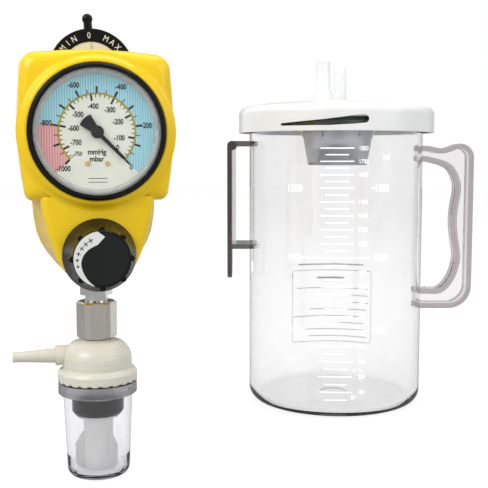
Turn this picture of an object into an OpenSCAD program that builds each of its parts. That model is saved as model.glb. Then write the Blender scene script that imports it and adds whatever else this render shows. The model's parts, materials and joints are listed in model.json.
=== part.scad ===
// Bedside suction set: a two litre collection bottle and the vacuum regulator
// with its overflow trap that stands beside it. Millimetres, +Z up.
// Origin: centre of the bottle's foot. The handle points to +X, the hanger to -X.
// The regulator is drawn about its own trap axis, facing -Y, and then set in place.

/* [Bottle] */
// Outer radius of the jar
jar_r = 61; // [58:0.5:63]
// Height of the jar's rim above the foot
jar_h = 197; // [190:1:205]
// Wall thickness of the jar
jar_wall = 3; // [2.5:0.1:3.5]
// Thickness of the jar's floor
jar_floor = 4; // [3:0.5:5]
// Radius of the jar's lower outside corner
jar_corner_r = 9; // [7:0.5:11]
// Width of the handle across its flanges
handle_w = 13; // [10:0.5:16]
// Thickness of the handle's flanges
handle_flange_t = 3.6; // [3.2:0.1:5]
// Width of the hanger tongue
hanger_w = 40; // [34:1:46]
// Thickness of the hanger tongue
hanger_t = 3.2; // [2.6:0.1:4]

/* [Lid] */
// Outer radius of the lid
lid_r = 68.4; // [67.5:0.1:71]
// Height of the lid's lower edge above the jar's foot
lid_z = 190; // [186:0.5:191]
// Top of the tall patient spout
tall_spout_top = 238.5; // [234:0.5:250]
// Top of the short vacuum spout
short_spout_top = 236; // [230:0.5:246]

/* [Regulator] */
// Position of the trap axis, left (-) or right (+) of the bottle
reg_x = -145; // [-180:1:-140]
// Position of the trap axis, in front (-) of the bottle
reg_y = -160; // [-190:1:-140]
// Turn of the regulator about its trap axis, in degrees
reg_yaw = 13; // [0:0.5:20]
// Height of the gauge's centre
gauge_z = 185.5; // [185:0.1:186]
// Outer radius of the gauge's bezel
bezel_r = 34; // [33.6:0.1:34.4]
// Height of the knob's axis
knob_z = 123.5; // [123:0.1:124]
// Largest radius of the knob
knob_r = 18.7; // [17.5:0.1:19]
// Height of the selector's axis
selector_z = 218.6; // [218:0.1:219]
// Outer radius of the selector ring
ring_r = 22.9; // [22:0.1:23.4]

/* [Trap] */
// Radius of the trap cup at its collar
cup_r = 18.7; // [18:0.1:19]
// Radius of the trap cup at its foot
cup_foot_r = 16.9; // [16.5:0.1:17.5]
// Radius of the trap's dome
dome_r = 18.6; // [17.5:0.1:19]
// Reach of the trap's hose nozzle from the trap axis
nozzle_reach = 44.8; // [38:0.2:50]

/* [Hidden] */
$fn = 64;
eps = 0.01;

// --- Bottle, derived ---
jar_in_r = jar_r - jar_wall;
rim_ledge_h = 8;
lug_count = 3;
lug_len_deg = 14;
lug_r = 64.4;
lug_z = [192.4, 195.6];
gasket_t = 2.4;
lid_in_r = lid_r - 3.2;
lid_shoulder_z = lid_z + 18;
lid_crown_z = lid_shoulder_z + 4;
lid_top_t = 2.6;
tall_xy = [-10.9, -21.5];
short_xy = [3.7, 8];
cage_xy = [2.2, 8];
spout_bore_r = 2.6;
cage_top_r = 25.2;
cage_low_r = 21.1;
cage_low_z = 167.5;
cage_t = 1.6;
handle_join_r = jar_r - 0.4;
hanger_x = -73.4;
hanger_low_z = 89;
hanger_top_z = 184.2;
hanger_arm_t = 3.4;
hanger_low_arm_z = 109;

// --- Regulator, derived: "f" is a distance towards the front (-Y) of the trap axis ---
face_f = 28;
part_f = -7;
back_f = -24.5;
shell_t = 2.5;
bezel_f = 34;
case_r = 32.2;
case_back_f = 9;
dial_f = 26.2;
dial_t = 0.6;
post_xz = [[30, 217], [-30, 217], [31, 157], [-31, 157]];
post_r = 3.5;
block_face_f = 5;
block_back_f = -20;
block_r = 14.6;
passage_f = -16.5;
passage_r = 2.2;
chamber_r = 5.5;
stem_z = gauge_z - 22;
inlet_z = 145;
inlet_thread_r = 6.58;
selector_f = -7.6;
rotor_r = 4.2;
pin_r = 1.8;
lever_deg = 94;
lever_reach = 28.1;
spindle_r = 3;
run_gap = 0.05;
pinion_teeth = 8;
sector_teeth = 60;
gear_module = 0.4;
sector_drop = gear_module * (pinion_teeth + sector_teeth) / 2;
fin_count = 3;

// ---------------------------------------------------------------- helpers

function arc(c, r, a0, a1, n = 6) =
    [for (i = [0 : n]) let (a = a0 + (a1 - a0) * i / n) [c.x + r * cos(a), c.y + r * sin(a)]];

function reversed(p) = [for (i = [len(p) - 1 : -1 : 0]) p[i]];

function mirrored(p) = [for (i = [len(p) - 1 : -1 : 0]) [-p[i].x, p[i].y]];

// Points of a smooth curve through a short list of points
function spline_at(p, i, t) =
    let (a = p[max(i - 1, 0)], b = p[i], c = p[i + 1], d = p[min(i + 2, len(p) - 1)])
    0.5 * (2 * b + (c - a) * t + (2 * a - 5 * b + 4 * c - d) * t * t
        + (3 * b - a - 3 * c + d) * t * t * t);

function spline(p, steps = 4) =
    concat([for (i = [0 : len(p) - 2]) for (s = [0 : steps - 1]) spline_at(p, i, s / steps)],
        [p[len(p) - 1]]);

function side_normal(p, i) =
    let (d = p[min(i + 1, len(p) - 1)] - p[max(i - 1, 0)]) [-d.y, d.x] / norm(d);

// Outline of a band of thickness t along a path
function band(p, t) =
    concat([for (i = [0 : len(p) - 1]) p[i] + side_normal(p, i) * t / 2],
        reversed([for (i = [0 : len(p) - 1]) p[i] - side_normal(p, i) * t / 2]));

// A copy of an outline shrunk about a centre
function shrunk(p, c, kx, ky) = [for (q = p) [c.x + (q.x - c.x) * kx, c.y + (q.y - c.y) * ky]];

// A 2-D outline in X and Z, made solid between two distances in Y
module across_y(y0, y1) {
    translate([0, y1, 0]) rotate([90, 0, 0]) linear_extrude(y1 - y0) children();
}

// The same between two distances towards the front
module slab(f0, f1) {
    across_y(-f1, -f0) children();
}

// A round bar along Y between two distances towards the front
module bar(f0, f1, r) {
    translate([0, -f0, 0]) rotate([90, 0, 0]) cylinder(h = f1 - f0, r = r);
}

// A profile of [radius, distance towards the front], turned about the Y axis
module turned(points) {
    rotate([90, 0, 0]) rotate_extrude() polygon(points);
}

// The regulator's own frame, set beside the bottle
module at_regulator() {
    translate([reg_x, reg_y, 0]) rotate([0, 0, reg_yaw]) children();
}

// The regulator's frame moved up to a point of its front view
module at_front(x, z) {
    at_regulator() translate([x, 0, z]) children();
}

// A round-wire compression spring along the front axis
module coil(f0, f1, coil_r, wire_r, turns, sides = 8, per_turn = 14) {
    steps = turns * per_turn;
    rings = [for (i = [0 : steps]) let (
        a = 360 * i / per_turn,
        f = f0 + wire_r + (f1 - f0 - 2 * wire_r) * i / steps
    ) [for (k = [0 : sides - 1]) let (b = 360 * k / sides, r = coil_r + wire_r * cos(b))
        [r * cos(a), -(f + wire_r * sin(b)), r * sin(a)]]];
    points = [for (ring = rings) for (p = ring) p];
    walls = [for (i = [0 : steps - 1]) for (k = [0 : sides - 1])
        let (a = i * sides + k, b = i * sides + (k + 1) % sides) [a, a + sides, b + sides, b]];
    start_cap = [[for (k = [0 : sides - 1]) k]];
    end_cap = [[for (k = [sides - 1 : -1 : 0]) steps * sides + k]];
    polyhedron(points, concat(walls, start_cap, end_cap));
}

// ---------------------------------------------------------------- bottle

// Half section of the jar's outside or inside: straight wall and a round lower corner
module jar_section(r, low, top, corner) {
    translate([0, low]) square([r - corner, top - low]);
    translate([0, low + corner]) square([r, top - low - corner]);
    translate([r - corner, low + corner]) intersection() {
        circle(corner);
        translate([0, -corner]) square([corner, 2 * corner]);
    }
}

module bottle_jar() {
    gate_r = 9.5;
    color([0.87, 0.87, 0.89, 0.35]) {
        difference() {
            rotate_extrude($fn = 96) jar_section(jar_r, 0, jar_h, jar_corner_r);
            rotate_extrude($fn = 96) jar_section(jar_in_r, jar_floor, jar_h + 1, jar_corner_r - jar_wall);
            translate([0, 0, jar_floor - 0.6]) cylinder(h = 1, r = gate_r);
        }
        for (i = [0 : lug_count - 1]) rotate([0, 0, 360 * i / lug_count - 90 - 3.4])
            translate([0, 0, lug_z[0]]) rotate_extrude(angle = lug_len_deg)
                translate([jar_r - 0.5, 0]) square([lug_r - jar_r + 0.5, lug_z[1] - lug_z[0]]);
    }
}

// Middle lines of the handle's outer frame and of its finger-shaped inner edge
handle_outer = concat(
    spline([[58, 179.4], [65.4, 179], [75, 177.4], [84.5, 180.4]]),
    arc([87.2, 172.8], 8, 90, 0, 6),
    arc([81, 81.6], 14.2, 0, -90, 8),
    [[58, 67.4]]);
handle_inner = spline([[58, 172], [65.2, 171.6], [79.5, 167], [85.4, 157.5], [86.4, 149], [84.8, 138.5],
    [84, 128.5], [84.8, 118], [86.6, 106.5], [86.6, 98.5], [82.8, 86.7], [75.3, 78.4], [65.2, 77.8], [58, 78]]);

module jar_handle() {
    web_t = 2;
    color([0.62, 0.56, 0.6, 0.6]) difference() {
        union() {
            across_y(-handle_w / 2, handle_w / 2) polygon(band(handle_outer, handle_flange_t));
            across_y(-handle_w / 2, handle_w / 2) polygon(band(handle_inner, handle_flange_t));
            across_y(-web_t / 2, web_t / 2) polygon(concat(handle_outer, reversed(handle_inner)));
        }
        translate([0, 0, 50]) cylinder(h = 150, r = handle_join_r, $fn = 96);
    }
}

module hanger_bracket() {
    arm_w = 30;
    rib_t = 2.6;
    tip_h = 7;
    plate_x = hanger_x - hanger_t;
    color([0.3, 0.25, 0.25, 0.85]) difference() {
        union() {
            translate([plate_x, -hanger_w / 2, hanger_low_z + tip_h])
                cube([hanger_t, hanger_w, hanger_top_z - hanger_low_z - tip_h - 3.2]);
            translate([hanger_x, 0, hanger_low_z]) rotate([90, 0, -90]) linear_extrude(hanger_t)
                polygon([[-hanger_w / 2, tip_h + 1], [-hanger_w / 2 + 4, 0], [hanger_w / 2 - 4, 0],
                    [hanger_w / 2, tip_h + 1]]);
            translate([plate_x + 3.2, 0, hanger_top_z - 3.2]) rotate([90, 0, 0])
                cylinder(h = hanger_w, r = 3.2, center = true);
            for (y = [-arm_w / 2, arm_w / 2 - rib_t])
                translate([hanger_x - 0.5, y, hanger_low_arm_z + 1])
                    cube([rib_t + 0.5, rib_t, hanger_top_z - hanger_low_arm_z - 3]);
            for (z = [hanger_low_arm_z, hanger_top_z - hanger_arm_t])
                translate([plate_x + 3, -arm_w / 2, z]) cube([30, arm_w, hanger_arm_t]);
        }
        translate([0, 0, 80]) cylinder(h = 120, r = handle_join_r, $fn = 96);
    }
}

// ---------------------------------------------------------------- lid

module lid_gasket() {
    color([0.16, 0.22, 0.19]) translate([0, 0, jar_h]) difference() {
        cylinder(h = gasket_t, r = jar_r - 0.2, $fn = 96);
        translate([0, 0, -1]) cylinder(h = gasket_t + 2, r = jar_in_r + 0.2, $fn = 96);
    }
}

// Wedge-shaped window in the lid's skirt, seen from outside: distance along the skirt and height
window = concat([[-28.6, 3.3], [-28.6, 4.9], [0, 7.2], [24, 10.1]], arc([25.6, 7.4], 2.8, 70, -60, 5),
    [[20, 4.2], [4, 3.3]]);

module lid() {
    seat_z = jar_h + gasket_t;
    plug_r = jar_in_r - 0.7;
    window_deg = -12.3;
    crown = concat([[0, lid_z], [lid_r, lid_z]],
        arc([lid_r - 5.5, lid_shoulder_z - 5.5], 5.5, 0, 80, 6),
        [[52, lid_shoulder_z + 1.6], [36, lid_crown_z - 1.2], [18, lid_crown_z - 0.3], [0, lid_crown_z]]);
    color("white") difference() {
        union() {
            difference() {
                rotate_extrude($fn = 96) polygon(crown);
                translate([0, 0, lid_z - 1]) cylinder(h = seat_z - lid_z + 1, r = lid_in_r, $fn = 96);
                translate([0, 0, seat_z - 1])
                    cylinder(h = lid_shoulder_z - lid_top_t - seat_z + 1, r = jar_in_r - 3.4, $fn = 96);
            }
            translate([0, 0, seat_z - 9]) difference() {
                cylinder(h = 10, r = plug_r, $fn = 96);
                translate([0, 0, -1]) cylinder(h = 12, r = plug_r - 2.4, $fn = 96);
            }
            translate([short_xy.x, short_xy.y, lid_shoulder_z - 9]) cylinder(h = 12, r = 8);
            translate([tall_xy.x, tall_xy.y, lid_shoulder_z]) cylinder(h = lid_crown_z - lid_shoulder_z, r = 6.6);
            translate([short_xy.x, short_xy.y, lid_shoulder_z]) cylinder(h = lid_crown_z - lid_shoulder_z, r = 5.9);
        }
        for (k = [0 : 2]) rotate([0, 0, window_deg + 120 * k])
            translate([0, 0, lid_z]) across_y(-75, -58.3) polygon(window);
        for (p = [tall_xy, short_xy]) translate([p.x, p.y, lid_z]) cylinder(h = 40, r = 5);
    }
}

// A hose spout standing in the lid, with one ridge part way up
module spout(xy, r, foot_r, collar_top, top, low) {
    ridge = top - 9.6;
    translate([xy.x, xy.y, 0]) difference() {
        rotate_extrude() polygon([[0, low], [4.95, low], [4.95, lid_crown_z], [foot_r, lid_crown_z],
            [foot_r, collar_top], [r + 0.25, collar_top], [r + 0.35, ridge - 0.4], [r + 0.35, ridge],
            [r, ridge], [r, top - 0.8], [r - 0.7, top], [0, top]]);
        translate([0, 0, low - 1]) cylinder(h = top - low + 2, r = spout_bore_r);
    }
}

module patient_spout() {
    color("white") spout(tall_xy, 4.6, 6, lid_crown_z + 6, tall_spout_top, lid_shoulder_z - 6);
}

module vacuum_spout() {
    color("white") {
        spout(short_xy, 4.2, 5.3, lid_crown_z + 1.5, short_spout_top, lid_shoulder_z - 12);
        translate([short_xy.x, short_xy.y, cage_low_z + 19]) rotate_extrude()
            polygon([[spout_bore_r, 0], [3.6, 0], [4.95, 10], [spout_bore_r, 10]]);
    }
}

module float_cage() {
    cage_top = lid_shoulder_z - lid_top_t;
    window_count = 6;
    section = [[0, cage_low_z], [cage_low_r, cage_low_z], [cage_top_r, lid_z], [cage_top_r, cage_top],
        [cage_top_r - cage_t, cage_top], [cage_top_r - cage_t, lid_z],
        [cage_low_r - cage_t, cage_low_z + 2], [0, cage_low_z + 2]];
    color([0.72, 0.75, 0.78, 0.7]) translate([cage_xy.x, cage_xy.y, 0]) {
        difference() {
            rotate_extrude() polygon(section);
            translate([0, 0, cage_low_z - 1]) cylinder(h = 4, r = 6);
            for (i = [0 : window_count - 1]) rotate([0, 0, 60 * i + 30])
                translate([15, -4, lid_z + 2]) cube([14, 8, 8]);
        }
        for (i = [0 : window_count - 1]) rotate([0, 0, 60 * i])
            translate([cage_top_r - 0.3, 0.6, 0]) rotate([90, 0, 0]) linear_extrude(1.2)
                polygon([[0, lid_z - 3], [0, cage_top - 5], [3.4, cage_top - 5], [3.4, lid_z + 3]]);
    }
}

module lid_float() {
    low = cage_low_z + 2.3;
    color("white") translate([cage_xy.x, cage_xy.y, low]) difference() {
        cylinder(h = 10, r = 15);
        translate([0, 0, -1]) cylinder(h = 9, r = 13.4);
    }
}

module lid_float_seal() {
    color([0.2, 0.2, 0.22]) translate([cage_xy.x, cage_xy.y, cage_low_z + 12.3]) cylinder(h = 1.5, r = 7);
}

// ---------------------------------------------------------------- regulator casing

// Right half of the casing's front view, from the top middle down
upper_right = concat([[0, 227.3], [16, 226.6]],
    arc([29.7, 217], 8.2, 84, 8, 5),
    [[38.9, 205], [39.8, 188], [39.2, 176], [37.9, 164]],
    arc([31.8, 155.6], 4.8, 0, -80, 4));
front_low_right = [[29, 151], [27.2, 141], [25.2, 133], [23, 126], [20.5, 120], [17.3, 114.6], [12, 109.6],
    [6, 106.6], [0, 105.8]];
rear_low_right = [[33, 151], [32.3, 141], [30.9, 133], [28.6, 127], [25.5, 121.8], [21.3, 116.4],
    [16.5, 111.2], [11, 107.1], [5.5, 104.6], [0, 103.9]];

upper_outline = concat(upper_right, mirrored(upper_right));
front_low_outline = concat([[29, 170]], front_low_right, mirrored(front_low_right), [[-29, 170]]);
rear_low_outline = concat([[33, 170]], rear_low_right, mirrored(rear_low_right), [[-33, 170]]);
upper_mid = [0, 188];
low_mid = [0, 140];

// Outline left when a wall of thickness t is taken off
function upper_less(t) = shrunk(upper_outline, upper_mid, (39.8 - t) / 39.8, (39.3 - t) / 39.3);
function front_low_less(t) = shrunk(front_low_outline, low_mid, (27 - t) / 27, (34.2 - t) / 34.2);
function rear_low_less(t) = shrunk(rear_low_outline, low_mid, (32 - t) / 32, (36.1 - t) / 36.1);

module front_cover() {
    edge = 7;
    boss_r = 39.2;
    color([1, 0.85, 0.1]) at_regulator() difference() {
        union() {
            hull() {
                slab(part_f, face_f - edge) polygon(upper_outline);
                slab(part_f, face_f - 2) polygon(upper_less(2.6));
                slab(part_f, face_f) polygon(upper_less(edge));
            }
            hull() {
                slab(part_f, part_f + 4) polygon(rear_low_less(0.5));
                slab(part_f, face_f - 5) polygon(front_low_outline);
                slab(part_f, face_f) polygon(front_low_less(4));
            }
            translate([0, 0, gauge_z]) turned([[0, 20], [boss_r, 20], [boss_r, 27], [37.6, 29.6],
                [36, 31], [35, 31.4], [0, 31.4]]);
        }
        slab(part_f - 1, face_f - shell_t) polygon(upper_less(shell_t + 1.5));
        slab(part_f - 1, face_f - shell_t) polygon(front_low_less(shell_t + 0.6));
        for (p = post_xz) translate([p.x, 0, p.y]) bar(part_f - 1, part_f + 12, 1.45);
        translate([0, 0, gauge_z]) bar(part_f, bezel_f + 2, bezel_r + 0.3);
        translate([0, 0, knob_z]) bar(0, face_f + 2, 6.4);
        translate([0, 0, 100]) cylinder(h = 12, r = 9.2);
    }
    color([1, 0.85, 0.1]) for (p = post_xz) at_front(p.x, p.y) difference() {
        bar(part_f, face_f - 8, post_r);
        bar(part_f - 1, part_f + 12, 1.45);
    }
}

module rear_cover() {
    slot_w = 49;
    color([1, 0.83, 0.1]) at_regulator() difference() {
        union() {
            difference() {
                union() {
                    slab(back_f, part_f - 0.1) polygon(upper_outline);
                    slab(back_f, part_f - 0.1) polygon(rear_low_outline);
                }
                slab(back_f + shell_t, part_f + 1) polygon(upper_less(shell_t + 0.8));
                slab(back_f + shell_t, part_f + 1) polygon(rear_low_less(shell_t + 0.6));
            }
            for (p = post_xz) translate([p.x, 0, p.y]) bar(back_f + 1, part_f - 0.1, post_r);
        }
        for (p = post_xz) translate([p.x, 0, p.y]) bar(back_f - 1, part_f + 1, 1.6);
        translate([-slot_w / 2, 6, 194]) cube([slot_w, 7.2, 40]);
        translate([0, 0, inlet_z]) bar(back_f - 1, back_f + 6, 9);
        translate([0, 0, 100]) cylinder(h = 12, r = 9.2);
    }
}

module cover_screws() {
    color("silver") for (p = post_xz) at_front(p.x, p.y) {
        bar(back_f - 0.1, part_f + 10, 1.4);
        difference() {
            bar(back_f - 2, back_f, 2.9);
            rotate([90, 0, 0]) translate([0, 0, back_f - 3]) cylinder(h = 2.2, r = 1.3, $fn = 6);
        }
    }
}

module valve_block() {
    head_r = 5.2;
    neck_w = 18;
    color([0.72, 0.73, 0.75]) difference() {
        at_regulator() union() {
            translate([0, 0, knob_z]) bar(block_back_f, block_face_f, block_r);
            translate([-neck_w / 2, 8, knob_z]) cube([neck_w, 12, 70]);
            translate([-neck_w / 2, 13.4, 190]) cube([neck_w, 6.6, selector_z - 190]);
            translate([0, 0, selector_z]) bar(block_back_f - 1, -13.4, head_r);
            translate([0, 0, 105.2]) intersection() {
                cylinder(h = 8, r = 8);
                translate([-8, -4.95, 0]) cube([16, 13, 8]);
            }
        }
        at_front(0, knob_z) bar(2, block_face_f + 1, 12);
        at_front(0, knob_z) bar(-4, 3, 2.4);
        at_front(0, knob_z) bar(block_back_f - 1, -3.5, chamber_r);
        at_front(0, selector_z) bar(-19, -13, rotor_r + run_gap);
        at_front(0, selector_z) bar(block_back_f - 2, -18, pin_r);
        at_front(0, selector_z - 8.6) bar(-19, -13, 1.65);
        at_front(0, inlet_z) bar(block_back_f - 1, passage_f, 4.5);
        at_front(0, stem_z) bar(-12, -7, 4.5);
        at_regulator() translate([0, -passage_f, knob_z]) cylinder(h = selector_z - knob_z, r = passage_r);
        at_regulator() translate([0, 0, 105]) cylinder(h = 8, r = 4.25);
    }
}

// ---------------------------------------------------------------- gauge

module gauge_case() {
    color([0.6, 0.6, 0.6]) at_front(0, gauge_z) difference() {
        bar(case_back_f, 30.9, case_r);
        bar(case_back_f + 1, 32, case_r - 1.2);
        translate([0, 0, stem_z - gauge_z]) bar(case_back_f - 1, case_back_f + 2, 6.6);
    }
}

module bezel_ring() {
    color([0.07, 0.07, 0.08]) at_front(0, gauge_z) turned([[case_r + 0.1, 27], [bezel_r - 0.6, 27], [bezel_r, 28],
        [bezel_r, 33.2], [bezel_r - 0.8, bezel_f], [31.9, bezel_f], [31.6, 33.4], [31.6, 32.7], [case_r + 0.1, 32.7]]);
}

module gauge_window() {
    color([0.9, 0.93, 0.95, 0.25]) at_front(0, gauge_z) bar(31, 32.6, case_r - 0.1);
}

module window_ring() {
    color([0.6, 0.62, 0.6]) at_front(0, gauge_z)
        turned([[30.9, dial_f + dial_t], [28.9, dial_f + dial_t], [28.9, 28], [30.2, 30.9], [30.9, 30.9]]);
}

module gauge_dial() {
    color([0.87, 0.89, 0.82]) at_front(0, gauge_z) difference() {
        bar(dial_f, dial_f + dial_t, 30.9);
        bar(dial_f - 1, dial_f + 2, 1.2);
        for (x = [-4.9, 4.9]) translate([x, 0, -15.9]) bar(dial_f - 1, dial_f + 2, 0.9);
    }
}

module dial_screws() {
    color([0.8, 0.6, 0.25]) for (x = [-4.9, 4.9]) at_front(x, gauge_z - 15.9) {
        bar(24.3, dial_f + dial_t, 0.8);
        difference() {
            bar(dial_f + dial_t, dial_f + dial_t + 0.7, 1.3);
            translate([-0.2, -dial_f - dial_t - 1, -2]) cube([0.4, 0.6, 4]);
        }
    }
}

// The pointer lies along its zero direction, 45 degrees down to the right
module gauge_pointer() {
    tip = 22.2;
    tail = 9.4;
    low = 28.2;
    color("black") at_front(0, gauge_z) {
        rotate([0, 45, 0]) {
            slab(low, low + 0.5) polygon([[0, -1.1], [tip - 4, -0.8], [tip - 3.4, -0.55], [tip, 0],
                [tip - 3.4, 0.55], [tip - 4, 0.8], [0, 1.1]]);
            slab(low, low + 0.5) polygon(concat([[0, 1.6], [0, -1.6]], arc([0, 0], tail, 204, 156, 6)));
        }
        bar(low - 0.6, low + 1.4, 3.2);
    }
}

// A spur gear outline with straight-sided teeth
function gear_outline(teeth, first, count, module_mm) =
    let (r = module_mm * teeth / 2, step = 360 / teeth)
    [for (i = [0 : count - 1]) for (q = [[-0.3, -1.15], [-0.2, 0], [-0.1, 0.8], [0.1, 0.8], [0.2, 0], [0.3, -1.15]])
        let (a = first + (i + q.x) * step, d = r + q.y * module_mm) [d * cos(a), d * sin(a)]];

module pointer_pinion() {
    color([0.8, 0.65, 0.3]) at_front(0, gauge_z) {
        bar(15.4, 27.6, 0.75);
        slab(18.8, 20.4) polygon(gear_outline(pinion_teeth, 90, pinion_teeth, gear_module));
    }
}

module sector_gear() {
    first = 84 + 3;
    tail_deg = -64;
    color([0.8, 0.65, 0.3]) at_front(0, gauge_z - sector_drop) {
        slab(19, 20.2) polygon(concat([[1.2, 0]], gear_outline(sector_teeth, first, 8, gear_module), [[-1.2, 0]]));
        slab(19, 20.2) polygon([[-1, -0.6], [1.2, 0.6], [6 * cos(tail_deg) + 0.7, 6 * sin(tail_deg)],
            [6 * cos(tail_deg) - 0.7, 6 * sin(tail_deg) - 0.4]]);
        bar(15.6, 24, 0.75);
        bar(17.4, 21, 1.6);
    }
}

module movement_plates() {
    pillar_xz = [[8.2, -14], [-8.2, -14], [0, 4.6]];
    color([0.8, 0.66, 0.35]) at_front(0, gauge_z) difference() {
        union() {
            for (f = [15.2, 23.2]) translate([-9.6, -f - 0.9, -19.4]) cube([19.2, 0.9, 26]);
            for (p = pillar_xz) translate([p.x, 0, p.y]) bar(16, 23.3, 1.2);
            for (x = [-4.9, 4.9]) translate([x, 0, -15.9]) bar(24, dial_f, 1.7);
        }
        bar(14, 25, 0.8);
        translate([0, 0, -sector_drop]) bar(14, 25, 0.8);
        for (x = [-4.9, 4.9]) translate([x, 0, -15.9]) bar(24.2, dial_f + 1, 0.85);
    }
}

module bourdon_tube() {
    color([0.78, 0.6, 0.3]) at_front(0, gauge_z) rotate([90, 0, 0]) rotate([0, 0, -28])
        rotate_extrude(angle = 290) translate([23.4, 16]) square([1.8, 6]);
}

module gauge_link() {
    color([0.75, 0.62, 0.35]) at_front(0, gauge_z)
        slab(21.2, 21.8) polygon([[22.7, -10.6], [22.2, -12.2], [3.2, -19.9], [2.6, -18.6]]);
}

module gauge_socket() {
    color([0.78, 0.62, 0.32]) at_front(0, gauge_z) {
        translate([-5.5, -24, -27.5]) cube([11, 13.9, 4]);
        translate([-5.5, -15, -27.5]) cube([11, 4.9, 11]);
        translate([0, 0, stem_z - gauge_z]) bar(-7.9, 11, 6.4);
        translate([0, 0, stem_z - gauge_z]) bar(-11.9, -7, 4.4);
    }
}

// ---------------------------------------------------------------- selector

module selector_ring() {
    inner_r = 16.1;
    back = selector_f - 3.4;
    web_back = back - 1.5;
    color([0.05, 0.05, 0.06]) at_front(0, selector_z) {
        difference() {
            union() {
                bar(web_back, selector_f, ring_r);
                bar(-18.7, web_back + 0.1, rotor_r);
            }
            bar(back, selector_f + 1, inner_r);
            bar(-20, selector_f + 1, pin_r + run_gap);
        }
        rotate([0, -lever_deg, 0]) translate([21, -selector_f + 1.9, 0]) rotate([0, 90, 0])
            cylinder(h = lever_reach - 21, r = 2.25);
        rotate([0, -lever_deg, 0]) translate([lever_reach, -selector_f + 1.9, 0]) sphere(2.8);
    }
}

module selector_disc() {
    color([0.93, 0.92, 0.87]) at_front(0, selector_z) {
        bar(selector_f - 3.2, selector_f - 0.4, 15.9);
        bar(-20.5, selector_f - 3.1, pin_r);
    }
}

module detent_ball() {
    color("silver") at_front(0, selector_z - 8.6) translate([0, 14.3, 0]) sphere(1.5, $fn = 32);
}

module detent_spring() {
    color("silver") at_front(0, selector_z - 8.6) coil(-18.9, -15.9, 1.1, 0.2, 4);
}

// ---------------------------------------------------------------- knob and control valve

knob_back_f = face_f + 0.8;
knob_face_f = 50;

module knob() {
    rib_count = 8;
    face_r = 14.2;
    flank = spline([[knob_r, knob_back_f + 1.6], [17.4, 34], [15.6, 40], [14.6, 45], [face_r, 49.3]]);
    color([0.05, 0.05, 0.06]) at_front(0, knob_z) difference() {
        union() {
            turned(concat([[0, knob_back_f], [knob_r - 0.4, knob_back_f]], flank,
                [[face_r - 0.7, knob_face_f], [0, knob_face_f]]));
            for (i = [0 : rib_count - 1]) rotate([0, 45 * i, 0]) translate([14.4, 0, 0])
                bar(33, knob_face_f - 1, 1.5);
        }
        difference() {
            bar(knob_back_f - 1, 45.5, 12);
            bar(34, 46, 7);
        }
        bar(knob_back_f - 1, 46.6, spindle_r + 0.02);
        bar(knob_face_f - 0.6, knob_face_f + 1, 13.1);
        translate([3, -38, 0]) rotate([0, 90, 0]) cylinder(h = 8, r = 1.5);
    }
}

module knob_insert() {
    color([0.1, 0.1, 0.1]) at_front(0, knob_z) bar(knob_face_f - 0.6, knob_face_f - 0.1, 13);
}

module knob_screw() {
    color("silver") at_front(0, knob_z) translate([3.1, -38, 0]) rotate([0, 90, 0]) cylinder(h = 4, r = 1.45);
}

module adjusting_spindle() {
    color([0.8, 0.65, 0.3]) at_front(0, knob_z) {
        bar(9.6, 46.4, spindle_r);
        bar(19.6, 21.3, 5);
    }
}

module spring_housing() {
    color([0.8, 0.65, 0.3]) at_front(0, knob_z) difference() {
        union() {
            bar(5.8, 25.2, 14.4);
            bar(25, 31.5, 5.9);
        }
        bar(5, 21.5, 11.6);
        bar(20, 33, spindle_r + run_gap);
    }
}

module spring_button() {
    color("silver") at_front(0, knob_z) difference() {
        union() {
            bar(14.6, 16.6, 10);
            bar(12.4, 15, 5.2);
        }
        bar(12, 17, spindle_r + run_gap);
    }
}

module main_spring() {
    color("silver") at_front(0, knob_z) coil(7.4, 14.5, 7.4, 0.5, 3);
}

module diaphragm() {
    color([0.15, 0.15, 0.16]) at_front(0, knob_z) bar(block_face_f, 5.8, 14.4);
}

module diaphragm_plate() {
    color("silver") at_front(0, knob_z) bar(5.85, 7.3, 9);
}

module valve_stem() {
    color("silver") at_front(0, knob_z) {
        bar(-9, block_face_f - 0.1, 1.5);
        bar(-8.4, -6.4, 4);
    }
}

module valve_seat() {
    color([0.85, 0.85, 0.8]) at_front(0, knob_z) difference() {
        bar(-6, -3.6, chamber_r - 0.05);
        bar(-7, -3, 2.2);
    }
}

module return_spring() {
    color("silver") at_front(0, knob_z) coil(-14.9, -8.5, 2.8, 0.35, 4);
}

module block_plug() {
    color([0.8, 0.65, 0.3]) at_front(0, knob_z) bar(block_back_f - 0.8, -15, chamber_r - 0.05);
}

module inlet_adapter() {
    thread_end = -47;
    color([0.82, 0.82, 0.84]) at_front(0, inlet_z) difference() {
        union() {
            bar(block_back_f, passage_f - 0.2, 4.4);
            bar(-24.8, block_back_f, 8);
            rotate([90, 0, 0]) translate([0, 0, -30]) cylinder(h = 5.3, r = 9.8, $fn = 6);
            bar(thread_end + 0.8, -29.9, inlet_thread_r);
            bar(thread_end, thread_end + 0.9, inlet_thread_r - 0.8);
        }
        bar(thread_end - 1, passage_f, 3);
    }
}

module outlet_nipple() {
    hex_r = 8.7;
    color([0.85, 0.85, 0.87]) at_regulator() difference() {
        union() {
            translate([0, 0, 99]) cylinder(h = 6.1, r = hex_r, $fn = 6);
            translate([0, 0, 105]) cylinder(h = 5.6, r = 4.2);
            translate([0, 0, 85.8]) cylinder(h = 13.3, r = 6);
        }
        translate([0, 0, 85]) cylinder(h = 28, r = 3);
    }
}

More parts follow.
